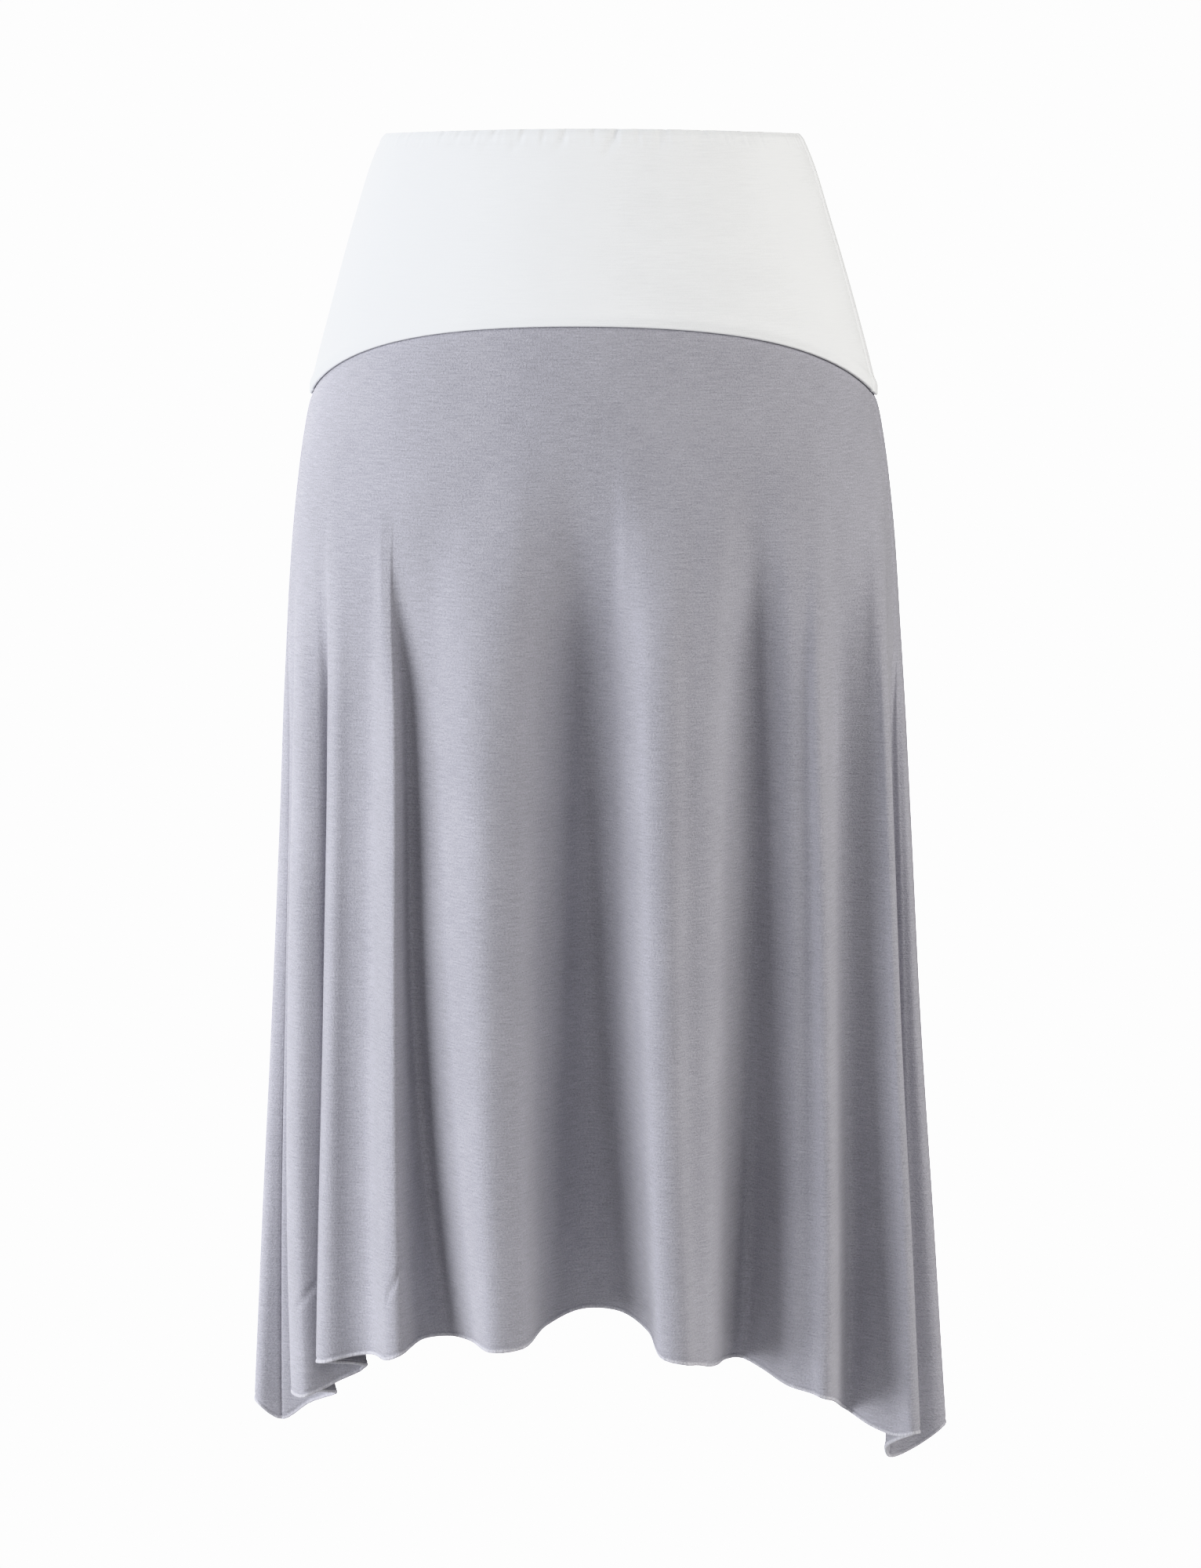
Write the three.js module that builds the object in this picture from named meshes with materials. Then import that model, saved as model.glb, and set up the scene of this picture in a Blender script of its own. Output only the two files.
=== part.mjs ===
// A high-low skirt of fine jersey with a wide doubled waistband, worn and hollow, as a three.js scene graph.
// Sizes are in millimetres. +Z is up, the front faces -Y, and Z 0 is the folded top edge of the waistband.
import * as THREE from "three";

// Cloth and sewing
const SKIRT_WALL = 1.2; // one layer of brushed jersey with the fullness of its nap
const BAND_WALL = 2.0; // the same weight of jersey, doubled over at the top
const BAND_PROUD = 0.7; // how far the doubled band stands out from the skirt
const SEAM_GAP = 0.3; // between two cut pieces, where the thread would lie

// Waistband
const SEAM_FRONT = -106; // the arched seam's height at the middle of the front
const SEAM_SIDE = -149; // and at the side seams
const SEAM_BACK = -110; // and at the middle of the back
const SEAM_ROUNDING = 0.16; // softens the arch where it turns at each side
const SEAM_FLATNESS = 1.1; // levels the arch along its middle
const SEAM_TURN = 3; // degrees that the arch sits towards the left of the front
const TOP_DIP = 2.5; // the folded edge sits this much lower at the sides

// Drape
const MID_LEVEL = -395; // the height half-way down at which the folds are also set
const DRAPE_ONSET = 0.8; // small values make a fold reach its depth sooner below its start
const DRAPE_LEAD_IN = 0.6; // the share of the way to half-way over which a fold begins

// Fineness of the faces
const COLUMN_PITCH = 10; // along the hem
const SKIRT_ROWS = 15;
const ROW_CROWDING = 1.25; // more rows where the folds begin
const BAND_COLUMNS = 38;
const BAND_ROWS = 6;
const BAND_TOP_STEPS = 4; // facets round the folded edge
const DIRECTION_STEP = 1e-3; // how far off a surface is read to find its directions

const DEGREE = Math.PI / 180;

// The body's section at a height: half its width, its depth in front of and behind the side, and its shift to +X.
const BODY_COLUMNS = ["z", "halfWidth", "front", "back", "shift"];
const BODY = table(BODY_COLUMNS, [
  [10, 112, 80, 85, -0.5],
  [0, 115, 83, 88, -0.5],
  [-16, 122, 88, 93, -0.5],
  [-50, 133, 96, 101, -0.5],
  [-100, 147.5, 106, 113, 0],
  [-140, 158, 110, 121, 0],
  [-175, 164.7, 112, 126, 0],
  [-210, 169.2, 113, 128, 0],
  [-280, 174.8, 115, 128, 0],
  [-390, 180.6, 117, 129, 1],
  [-500, 186.3, 120, 131, 1.5],
  [-610, 193, 123, 134, 2.3],
  [-770, 201.5, 127, 139, 3],
]);

// The cloth's path round the skirt, from the left side seam over the front to the right one and back behind.
// A row is a crest, a trough or a turn between them: where it leaves the hips, in degrees from the middle of
// the front, the height at which it begins, where it lies half-way down, and where it comes to at the hem.
const FOLD_COLUMNS = ["at", "start", "midX", "midY", "x", "y", "z"];
const FRONT_FOLDS = table(FOLD_COLUMNS, [
  [-85, -250, -173.5, -33, -181, -30, -739],
  [-81, -240, -170.5, -38, -164, -37, -727],
  [-77, -230, -166.5, -44, -148, -51, -717],
  [-74, -220, -170, -54, -172, -66, -711.5],
  [-71, -215, -164, -66, -164, -82, -710],
  [-65.5, -205, -153, -69.5, -144.5, -77, -702],
  [-62, -195, -146, -65.5, -129, -75, -694.5],
  [-59, -185, -148.8, -75.5, -156, -92, -686.5],
  [-56, -185, -144, -84, -150, -105, -683],
  [-51, -180, -134, -86, -134, -104.5, -679],
  [-46, -180, -124, -90.5, -124, -108.5, -677],
  [-43, -185, -115, -107, -114.5, -127, -675],
  [-41, -195, -110, -112, -107, -129, -672],
  [-39.5, -210, -105.5, -107.5, -95, -111, -667.5],
  [-37.5, -218, -101, -98, -81.5, -101, -668.5],
  [-33, -210, -86, -110, -68.5, -123, -665],
  [-25, -175, -62, -132, -56, -147, -665],
  [-16.5, -150, -44, -130, -39, -143, -664],
  [-9, -142, -27, -112, -26, -110, -660],
  [-3, -138, -5, -93.5, -6, -88, -656.5],
  [3, -140, 8.5, -99.5, 13, -88, -657.5],
  [6.5, -150, 19.5, -117.5, 30, -118, -661],
  [11, -160, 31.5, -136, 38, -149.5, -668],
  [16, -155, 43, -137, 51, -152, -670.5],
  [19.5, -155, 51, -130, 57.5, -143, -673],
  [22.5, -150, 59.5, -126, 64, -135.5, -676],
  [25.5, -150, 67, -119, 69, -122, -679],
  [28.5, -148, 76, -102.5, 74.5, -100.5, -682],
  [32, -146, 87, -91.5, 83.5, -86.5, -685.5],
  [36, -150, 97.5, -98, 94.5, -98, -688.5],
  [40, -155, 110, -106.5, 108.5, -120, -692],
  [44, -165, 119.5, -107, 121.5, -128, -694],
  [45.8, -170, 123, -112, 127, -134.3, -695],
  [47.3, -170, 126.5, -111.3, 131.3, -131, -696.5],
  [49.2, -170, 129.7, -106, 134.8, -122.5, -700],
  [54, -195, 139, -90, 144, -89, -716],
  [61, -190, 150, -91.5, 156, -98, -722],
  [67, -178, 159, -95, 170, -108, -724.5],
  [70.5, -180, 163.2, -97.6, 178, -115, -721.5],
  [72.2, -182, 166, -94.5, 182.3, -111, -722],
  [73.8, -184, 166.6, -85.5, 182.8, -99, -725.5],
  [76, -185, 165.5, -62, 168, -62, -745.5],
]);
const BACK_FOLDS = table(FOLD_COLUMNS, [
  [79, -240, 168, -46, 171, -50, -755.5],
  [82.5, -240, 173, -46, 184, -46, -751.5],
  [87, -240, 178.3, -43, 201.5, -46, -738.5],
  [93, -230, 181, -14, 200, -18, -741],
  [100, -220, 176, 16, 181, 8, -738],
  [107, -210, 179, 40, 205, 38, -729],
  [114, -200, 163, 50, 172, 60, -720],
  [121, -195, 164, 82, 177, 104, -710],
  [129, -190, 138, 86, 130, 98, -700],
  [137, -180, 123, 116, 112, 152, -689],
  [145, -175, 97, 112, 72, 122, -680],
  [153, -175, 79, 134, 60, 168, -673],
  [161, -175, 56, 140, 33, 166, -667],
  [169, -185, 29, 122, 12, 118, -663],
  [178, -185, -2, 124, -16, 124, -661],
  [186, -170, -22, 144, -30, 164, -662],
  [193, -170, -44, 142, -52, 168, -665],
  [201, -175, -68, 120, -70, 124, -670],
  [209, -180, -92, 110, -98, 112, -677],
  [217, -185, -110, 122, -112, 152, -685],
  [225, -190, -131, 112, -134, 142, -692],
  [232, -200, -142, 82, -138, 92, -701],
  [240, -205, -163, 77, -170, 88, -709],
  [247, -215, -174, 62, -186, 72, -715],
  [254, -230, -170, 36, -168, 36, -724],
  [261, -240, -178.5, 10, -193, 4, -731],
  [269, -250, -178.4, -25, -195, -30, -729.5],
]);
const FOLDS = [...FRONT_FOLDS, ...BACK_FOLDS];
const LEFT_SEAM = 0; // the row of the left side seam
const RIGHT_SEAM = FRONT_FOLDS.length;

const skirtJersey = new THREE.MeshStandardMaterial({ color: 0xa9a8b3, roughness: 0.95, metalness: 0 });
const bandJersey = new THREE.MeshStandardMaterial({ color: 0xeff0f2, roughness: 0.92, metalness: 0 });

// Rows of bare values as objects with named columns.
function table(columns, rows) {
  return rows.map((row) => Object.fromEntries(columns.map((name, i) => [name, row[i]])));
}

// A smooth curve through one column of four neighbouring rows, at share s of the middle span.
function through(knots, values, s) {
  const span = knots[2] - knots[1];
  const slopeAt = (i) => {
    const before = (values[i] - values[i - 1]) / (knots[i] - knots[i - 1]);
    const after = (values[i + 1] - values[i]) / (knots[i + 1] - knots[i]);
    const weight = (knots[i] - knots[i - 1]) / (knots[i + 1] - knots[i - 1]);
    return before + (after - before) * weight;
  };
  const s2 = s * s;
  const s3 = s2 * s;
  return (
    (2 * s3 - 3 * s2 + 1) * values[1] +
    (s3 - 2 * s2 + s) * span * slopeAt(1) +
    (3 * s2 - 2 * s3) * values[2] +
    (s3 - s2) * span * slopeAt(2)
  );
}

// The body's section at height z.
function bodyAt(z) {
  let i = 1;
  while (i < BODY.length - 3 && z < BODY[i + 1].z) i += 1;
  const rows = BODY.slice(i - 1, i + 3);
  const knots = rows.map((row) => -row.z);
  const share = (-z - knots[1]) / (knots[2] - knots[1]);
  const value = (name) => through(knots, rows.map((row) => row[name]), share);
  return { halfWidth: value("halfWidth"), front: value("front"), back: value("back"), shift: value("shift") };
}

// The point of the body's section at height z that lies at an angle from the middle of the front.
function bodyPoint(angle, z) {
  const body = bodyAt(z);
  const depth = Math.cos(angle) > 0 ? body.front : body.back;
  return new THREE.Vector3(body.shift + body.halfWidth * Math.sin(angle), -depth * Math.cos(angle), z);
}

// Where row i of the folds lies along the hem, as the sum of the square roots of the steps before it. The folds
// close on themselves, so any whole number is a row.
const KNOTS = [0];
FOLDS.forEach((fold, i) => {
  const next = FOLDS[(i + 1) % FOLDS.length];
  KNOTS.push(KNOTS[i] + Math.sqrt(Math.hypot(next.x - fold.x, next.y - fold.y)));
});

function knotAt(i) {
  const turns = Math.floor(i / FOLDS.length);
  return turns * KNOTS[FOLDS.length] + KNOTS[i - turns * FOLDS.length];
}

// The fold's values at a place along the hem: a whole number is a row, and what lies between is a share.
function foldAt(place) {
  const i = Math.floor(place);
  const near = [i - 1, i, i + 1, i + 2];
  const knots = near.map(knotAt);
  const valueOf = (name, perTurn) =>
    near.map((k) => {
      const turns = Math.floor(k / FOLDS.length);
      return FOLDS[k - turns * FOLDS.length][name] + turns * perTurn;
    });
  const value = (name, perTurn = 0) => through(knots, valueOf(name, perTurn), place - i);
  const fold = Object.fromEntries(FOLD_COLUMNS.slice(1).map((name) => [name, value(name)]));
  return { at: value("at", 360), ...fold };
}

// The height of the arched seam at an angle from the middle of the front.
function seamHeight(angle) {
  const across = Math.cos(angle + SEAM_TURN * DEGREE);
  const middle = across > 0 ? SEAM_FRONT : SEAM_BACK;
  const arch = Math.hypot(across, SEAM_ROUNDING) - SEAM_ROUNDING;
  const fullArch = Math.hypot(1, SEAM_ROUNDING) - SEAM_ROUNDING;
  const share = Math.sin((SEAM_FLATNESS * arch) / fullArch) / Math.sin(SEAM_FLATNESS);
  return THREE.MathUtils.lerp(SEAM_SIDE, middle, share);
}

// How much of its half-way depth a fold has reached at a share of the way from its start to half-way.
function drape(share) {
  const leadIn = THREE.MathUtils.smoothstep(share, 0, DRAPE_LEAD_IN);
  return (leadIn * share * (1 + DRAPE_ONSET)) / (share + DRAPE_ONSET);
}

// A point of the skirt's outer face: place runs round the hem, and down runs from the seam, 0, to the hem, 1.
// A fold grows out of the body's section to its place half-way down, and glides on from there to the hem.
function skirtPoint(place, down) {
  const fold = foldAt(place);
  const angle = fold.at * DEGREE;
  const seam = seamHeight(angle) - SEAM_GAP / 2;
  const z = THREE.MathUtils.lerp(seam, fold.z, down);
  const mid = new THREE.Vector3(fold.midX, fold.midY, MID_LEVEL).sub(bodyPoint(angle, MID_LEVEL));
  const end = new THREE.Vector3(fold.x, fold.y, fold.z).sub(bodyPoint(angle, fold.z));
  const upper = THREE.MathUtils.clamp((fold.start - z) / (fold.start - MID_LEVEL), 0, 1);
  const lower = THREE.MathUtils.clamp((MID_LEVEL - z) / (MID_LEVEL - fold.z), 0, 1);
  const lateSlope = DRAPE_ONSET / (1 + DRAPE_ONSET);
  const glide = (lateSlope * (MID_LEVEL - fold.z)) / (fold.start - MID_LEVEL);
  const midShare = drape(upper) + glide * (lower - lower ** 2) - lower ** 2;
  return bodyPoint(angle, z).addScaledVector(mid, midShare).addScaledVector(end, lower ** 2);
}

// The direction that faces out of the cloth at a point of a surface.
function outward(surface, place, down) {
  const step = DIRECTION_STEP;
  const inside = THREE.MathUtils.clamp(down, step, 1 - step);
  const across = surface(place + step, inside).sub(surface(place - step, inside));
  const along = surface(place, inside + step).sub(surface(place, inside - step));
  return along.cross(across).normalize();
}

// A closed mesh from rings of points that all have the same number of points, with a flat cap at each end.
function closedTube(rings, capFaces) {
  const size = rings[0].length;
  const points = rings.flat();
  const faces = [];
  for (let i = 0; i + 1 < rings.length; i += 1) {
    for (let j = 0; j < size; j += 1) {
      const next = (j + 1) % size;
      const a = i * size + j;
      const b = i * size + next;
      faces.push(a, b, a + size, b, b + size, a + size);
    }
  }
  const last = (rings.length - 1) * size;
  capFaces.forEach(([a, b, c]) => faces.push(a, c, b, last + a, last + b, last + c));
  const geometry = new THREE.BufferGeometry();
  geometry.setAttribute("position", new THREE.Float32BufferAttribute(points.flatMap((p) => p.toArray()), 3));
  geometry.setIndex(faces);
  geometry.computeVertexNormals();
  return geometry;
}

// The faces that close a ring which goes down one side of the cloth and up the other.
function capOfStrip(size) {
  const faces = [];
  for (let j = 0; j < size / 2 - 1; j += 1) {
    const far = size - 1 - j;
    faces.push([j, j + 1, far], [j + 1, far - 1, far]);
  }
  return faces;
}

// The places along the hem of the columns of one panel, from one side seam's row to the other's.
function columnsBetween(from, to) {
  const places = [];
  for (let i = from; i < to; i += 1) {
    const here = foldAt(i);
    const next = foldAt(i + 1);
    const length = Math.hypot(next.x - here.x, next.y - here.y);
    const steps = Math.max(2, Math.round(length / COLUMN_PITCH));
    for (let k = 0; k < steps; k += 1) places.push(i + k / steps);
  }
  return [...places, to];
}

// One panel of the skirt, from the seam under the band to the hem and from side seam to side seam.
function skirtPanel(from, to) {
  const downs = Array.from({ length: SKIRT_ROWS + 1 }, (_, i) => (i / SKIRT_ROWS) ** ROW_CROWDING);
  const rings = columnsBetween(from, to).map((place) => {
    const inwards = Math.sign(place === from) - Math.sign(place === to);
    const outer = [];
    const inner = [];
    downs.forEach((down) => {
      const point = skirtPoint(place, down);
      const out = outward(skirtPoint, place, down);
      if (inwards !== 0) {
        const sideways = skirtPoint(place + inwards * DIRECTION_STEP, down).sub(point).normalize();
        point.addScaledVector(sideways, SEAM_GAP / 2);
      }
      outer.push(point);
      inner.unshift(point.clone().addScaledVector(out, -SKIRT_WALL));
    });
    return [...outer, ...inner];
  });
  return closedTube(rings, capOfStrip(rings[0].length));
}

// A point of the waistband's mean face: around is an angle from the middle of the front, and down runs from the
// folded edge, 0, to the seam, 1.
function bandPoint(angle, down) {
  const top = -TOP_DIP * Math.sin(angle) ** 2;
  const z = THREE.MathUtils.lerp(top, seamHeight(angle) + SEAM_GAP / 2, down);
  return bodyPoint(angle, z);
}

// One half of the waistband, between two angles. A ring goes down the outer face and up the inner one, and the
// doubled cloth is rounded where it is folded over at the top.
function bandPanel(from, to) {
  const rings = [];
  const radius = BAND_WALL / 2;
  for (let i = 0; i <= BAND_COLUMNS; i += 1) {
    const angle = THREE.MathUtils.lerp(from, to, i / BAND_COLUMNS);
    const outer = [];
    const inner = [];
    for (let j = 0; j <= BAND_ROWS; j += 1) {
      const down = j / BAND_ROWS;
      const out = outward(bandPoint, angle, down);
      const middle = bandPoint(angle, down).addScaledVector(out, BAND_PROUD - radius);
      if (j === 0) middle.z -= radius;
      outer.push(middle.clone().addScaledVector(out, radius));
      inner.unshift(middle.clone().addScaledVector(out, -radius));
    }
    const fold = [];
    const centre = outer[0].clone().add(inner[inner.length - 1]).multiplyScalar(0.5);
    const across = outer[0].clone().sub(centre);
    for (let k = 1; k < BAND_TOP_STEPS; k += 1) {
      const turn = Math.PI * (1 - k / BAND_TOP_STEPS);
      const rise = new THREE.Vector3(0, 0, radius * Math.sin(turn));
      fold.push(centre.clone().addScaledVector(across, Math.cos(turn)).add(rise));
    }
    rings.push([...outer, ...inner, ...fold]);
  }
  pullInEnds(rings);
  return closedTube(rings, capOfBand());
}

// Moves the two end rings in by half a seam's gap.
function pullInEnds(rings) {
  const shift = (ring, neighbour) =>
    ring.forEach((point, i) => {
      const inwards = neighbour[i].clone().sub(point).normalize();
      point.addScaledVector(inwards, SEAM_GAP / 2);
    });
  shift(rings[0], rings[1]);
  shift(rings[rings.length - 1], rings[rings.length - 2]);
}

// The faces that close the band's ring: the strip between its two faces, and the rounded fold over it.
function capOfBand() {
  const strip = 2 * (BAND_ROWS + 1);
  const faces = capOfStrip(strip);
  for (let k = 0; k < BAND_TOP_STEPS - 1; k += 1) {
    const from = k === 0 ? strip - 1 : strip + k - 1;
    faces.push([0, from, strip + k]);
  }
  return faces;
}

// A named piece.
function piece(name, geometry, material) {
  const mesh = new THREE.Mesh(geometry, material);
  mesh.name = name;
  return mesh;
}

const leftSeamAngle = FOLDS[LEFT_SEAM].at * DEGREE;
const rightSeamAngle = FOLDS[RIGHT_SEAM].at * DEGREE;
const wholeTurn = 2 * Math.PI;

const skirt = new THREE.Group();
skirt.add(piece("waistband_front", bandPanel(leftSeamAngle, rightSeamAngle), bandJersey));
skirt.add(piece("waistband_back", bandPanel(rightSeamAngle, leftSeamAngle + wholeTurn), bandJersey));
skirt.add(piece("skirt_front", skirtPanel(LEFT_SEAM, RIGHT_SEAM), skirtJersey));
skirt.add(piece("skirt_back", skirtPanel(RIGHT_SEAM, FOLDS.length), skirtJersey));

export default skirt;
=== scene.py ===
"""The looks of a worn high-low skirt of brushed jersey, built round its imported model.

Cloth is worked out in millimetres, in the model's own frame, and turned to metres when its mesh is made.
+Z is up, the front faces -Y, and Z 0 is the folded top edge of the waistband.
"""

import math

import bpy
import numpy as np
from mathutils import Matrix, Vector


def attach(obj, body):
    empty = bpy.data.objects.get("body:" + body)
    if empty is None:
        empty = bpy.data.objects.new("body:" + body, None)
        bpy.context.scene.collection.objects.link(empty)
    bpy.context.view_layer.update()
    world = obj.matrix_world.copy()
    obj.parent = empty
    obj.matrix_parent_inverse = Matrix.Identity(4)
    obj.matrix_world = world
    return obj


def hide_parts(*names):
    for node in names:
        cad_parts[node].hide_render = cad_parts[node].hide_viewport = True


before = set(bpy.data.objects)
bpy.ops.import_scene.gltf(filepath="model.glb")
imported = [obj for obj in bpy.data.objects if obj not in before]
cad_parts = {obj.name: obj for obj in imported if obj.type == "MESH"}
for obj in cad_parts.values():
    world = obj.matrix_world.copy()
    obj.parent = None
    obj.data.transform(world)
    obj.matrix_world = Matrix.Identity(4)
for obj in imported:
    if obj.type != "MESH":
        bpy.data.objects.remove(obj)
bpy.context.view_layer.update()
BODY_NAME = "root"

# Cloth
MM = 0.001
SKIRT_WALL = 1.2
BAND_WALL = 2.0
BAND_PROUD = 0.7
SEAM_GAP = 0.3
EDGE_LEAST = 0.3

# Waistband
SEAM_FRONT = -106
SEAM_SIDE = -149
SEAM_BACK = -110
SEAM_ROUNDING = 0.16
SEAM_FLATNESS = 1.1
SEAM_TURN = math.radians(3)
TOP_DIP = 2.5
TOP_ROLL = 1.1
TOP_ROLL_DEPTH = 4.0
CASING_DOWN = 7.0
CASING_GROOVE = 0.4
CASING_WIDTH = 0.8
CASING_MEAN = 0.6
CASING_TILT = 0.4
PUCKER_FULL = 0.2
GATHER_DEPTH = 0.24
GATHER_REACH = 1.6
WAIST_RADIUS = 108.0
SEAM_RIDGE = 1.0
SEAM_RIDGE_UP = 5.5
SEAM_RIDGE_WIDTH = 3.4

# Seams of the skirt
SEAM_ALLOWANCE = 0.012
SEAM_TUCK = 1.45
SEAM_TUCK_REACH = 3.2
SIDE_GROOVE = 0.6
SIDE_GROOVE_WIDTH = 1.3
SEAM_STEP = 0.02

# Overlocked hem. Its bead is squared up to a row of the panel, counted back from the hem.
HEM_GROOVE = 0.45
HEM_GROOVE_UP = 2.5
HEM_GROOVE_WIDTH = 0.7
THREAD_UP = 1.9
THREAD_PROUD = 0.14
THREAD_RIDGE = 0.16
STITCH_PITCH = 0.9
STITCH_SLANT = 0.35
STITCH_STEPS = 4
BEAD_ROW = -5

# Drape
MID_LEVEL = -395
DRAPE_ONSET = 0.8
DRAPE_LEAD_IN = 0.6

# Fineness of the meshes
SKIRT_COLUMNS = 338
SKIRT_ROWS = 144
BAND_COLUMNS = 340
BAND_ROWS = 110
FINE_STEPS = 4000
FLOOR_SIDES = 96

# Where the meshes are finer: how much closer together their lines lie, and how far that reaches. The reach
# by the side seams and the length of a short crease are in millimetres, and the rest are shares of the way
# down a panel.
SIDE_REACH = 2
SKIRT_SIDE_CLOSER = 7
BAND_SIDE_CLOSER = 2
CREASE_CLOSER = 6
SHORT_CREASE = 40
SKIRT_TOP_CLOSER = 6
SKIRT_TOP_REACH = 0.012
LOWER_CLOSER = 1.6
LOWER_START = 0.77
LOWER_FULL = 0.86
HEM_CLOSER = 9
HEM_REACH = 0.007
BAND_EDGE_CLOSER = 4
BAND_TOP_REACH = 0.015
BAND_SEAM_REACH = 0.01

# Patterns of the cloth in millimetres. Real fibres are a few hundredths of a millimetre thick and the
# courses of this jersey about 0.55 apart, too fine for the render, so tufts, fibres, courses and loops are
# drawn as coarse as they need to show. A run is how many courses long a level streak is, and a lot is a
# patch that took more dye.
TUFT = 1.1
FIBRE = 0.55
COURSE = 0.8
LOOP = 0.8
GREY_RUN = 14
WHITE_RUN = 18
GREY_LOT = (45.0, 60.0)
WHITE_LOT = (40.0, 25.0)
STITCH_SHADE_HEIGHT = 2.0
CARD_FIBRE = 2.5

# The thread's twist: with these values the wave texture's lines lie 1.2 mm apart along the thread, coarser
# than a real thread's, so that they show
THREAD_TWIST = 0.3
WAVE_TURNS = 20
WAVE_SIZE = 0.314

# How deep each surface's relief is, in millimetres
NAP_DEPTH = 0.26
LOOP_DEPTH = 0.07
THREAD_DEPTH = 0.04
CARD_DEPTH = 0.05

# Camera, as the photo's height and focal length in its pixels
PHOTO_HEIGHT = 2000
FOCAL_PIXELS = 5406.7
SENSOR_HEIGHT = 36.0
CAMERA_PLACE = (0.0039, -2.4, 0.0)
CAMERA_PITCH = 8.8
CAMERA_REACH = 50

# Room and lights, each light with its place, size, power and colour
BACKDROP_STRENGTH = 4.0
ROOM_STRENGTH = 0.18
FLOOR_LEVEL = -1030.0
FLOOR_RADIUS = 500.0
LIGHT_AIM = (0, 0, -0.42)
LIGHTS = [
    ("key_left", (-2.35, -0.8, -0.1), (2.0, 2.4), 98, "#f9fbff"),
    ("fill_right", (2.35, -0.85, 0.35), (2.0, 1.8), 55, "#fffdf9"),
    ("front", (0.2, -3.0, 1.0), (1.6, 1.2), 25, "#ffffff"),
    ("back", (-1.7, 2.3, 0.8), (1.8, 1.6), 75, "#ffffff"),
]

BODY_COLUMNS = ("z", "half_width", "front", "back", "shift")
BODY_ROWS = [
    (10, 112, 80, 85, -0.5),
    (0, 115, 83, 88, -0.5),
    (-16, 122, 88, 93, -0.5),
    (-50, 133, 96, 101, -0.5),
    (-100, 147.5, 106, 113, 0),
    (-140, 158, 110, 121, 0),
    (-175, 164.7, 112, 126, 0),
    (-210, 169.2, 113, 128, 0),
    (-280, 174.8, 115, 128, 0),
    (-390, 180.6, 117, 129, 1),
    (-500, 186.3, 120, 131, 1.5),
    (-610, 193, 123, 134, 2.3),
    (-770, 201.5, 127, 139, 3),
]

# The cloth's path, a crest, a trough or a turn in each row: its angle and height at the hip, then its place
# half-way down and at the hem.
FOLD_COLUMNS = ("at", "start", "mid_x", "mid_y", "x", "y", "z")
FRONT_FOLDS = [
    (-85, -250, -173.5, -33, -181, -30, -739),
    (-81, -240, -170.5, -38, -164, -37, -727),
    (-77, -230, -166.5, -44, -148, -51, -717),
    (-74, -220, -170, -54, -172, -66, -711.5),
    (-71, -215, -164, -66, -164, -82, -710),
    (-65.5, -205, -153, -69.5, -144.5, -77, -702),
    (-62, -195, -146, -65.5, -129, -75, -694.5),
    (-59, -185, -148.8, -75.5, -156, -92, -686.5),
    (-56, -185, -144, -84, -150, -105, -683),
    (-51, -180, -134, -86, -134, -104.5, -679),
    (-46, -180, -124, -90.5, -124, -108.5, -677),
    (-43, -185, -115, -107, -114.5, -127, -675),
    (-41, -195, -110, -112, -107, -129, -672),
    (-39.5, -210, -105.5, -107.5, -95, -111, -667.5),
    (-37.5, -218, -101, -98, -81.5, -101, -668.5),
    (-33, -210, -86, -110, -68.5, -123, -665),
    (-25, -175, -62, -132, -56, -147, -665),
    (-16.5, -150, -44, -130, -39, -143, -664),
    (-9, -142, -27, -112, -26, -110, -660),
    (-3, -138, -5, -93.5, -6, -88, -656.5),
    (3, -140, 8.5, -99.5, 13, -88, -657.5),
    (6.5, -150, 19.5, -117.5, 30, -118, -661),
    (11, -160, 31.5, -136, 38, -149.5, -668),
    (16, -155, 43, -137, 51, -152, -670.5),
    (19.5, -155, 51, -130, 57.5, -143, -673),
    (22.5, -150, 59.5, -126, 64, -135.5, -676),
    (25.5, -150, 67, -119, 69, -122, -679),
    (28.5, -148, 76, -102.5, 74.5, -100.5, -682),
    (32, -146, 87, -91.5, 83.5, -86.5, -685.5),
    (36, -150, 97.5, -98, 94.5, -98, -688.5),
    (40, -155, 110, -106.5, 108.5, -120, -692),
    (44, -165, 119.5, -107, 121.5, -128, -694),
    (45.8, -170, 123, -112, 127, -134.3, -695),
    (47.3, -170, 126.5, -111.3, 131.3, -131, -696.5),
    (49.2, -170, 129.7, -106, 134.8, -122.5, -700),
    (54, -195, 139, -90, 144, -89, -716),
    (61, -190, 150, -91.5, 156, -98, -722),
    (67, -178, 159, -95, 170, -108, -724.5),
    (70.5, -180, 163.2, -97.6, 178, -115, -721.5),
    (72.2, -182, 166, -94.5, 182.3, -111, -722),
    (73.8, -184, 166.6, -85.5, 182.8, -99, -725.5),
    (76, -185, 165.5, -62, 168, -62, -745.5),
]
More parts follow.
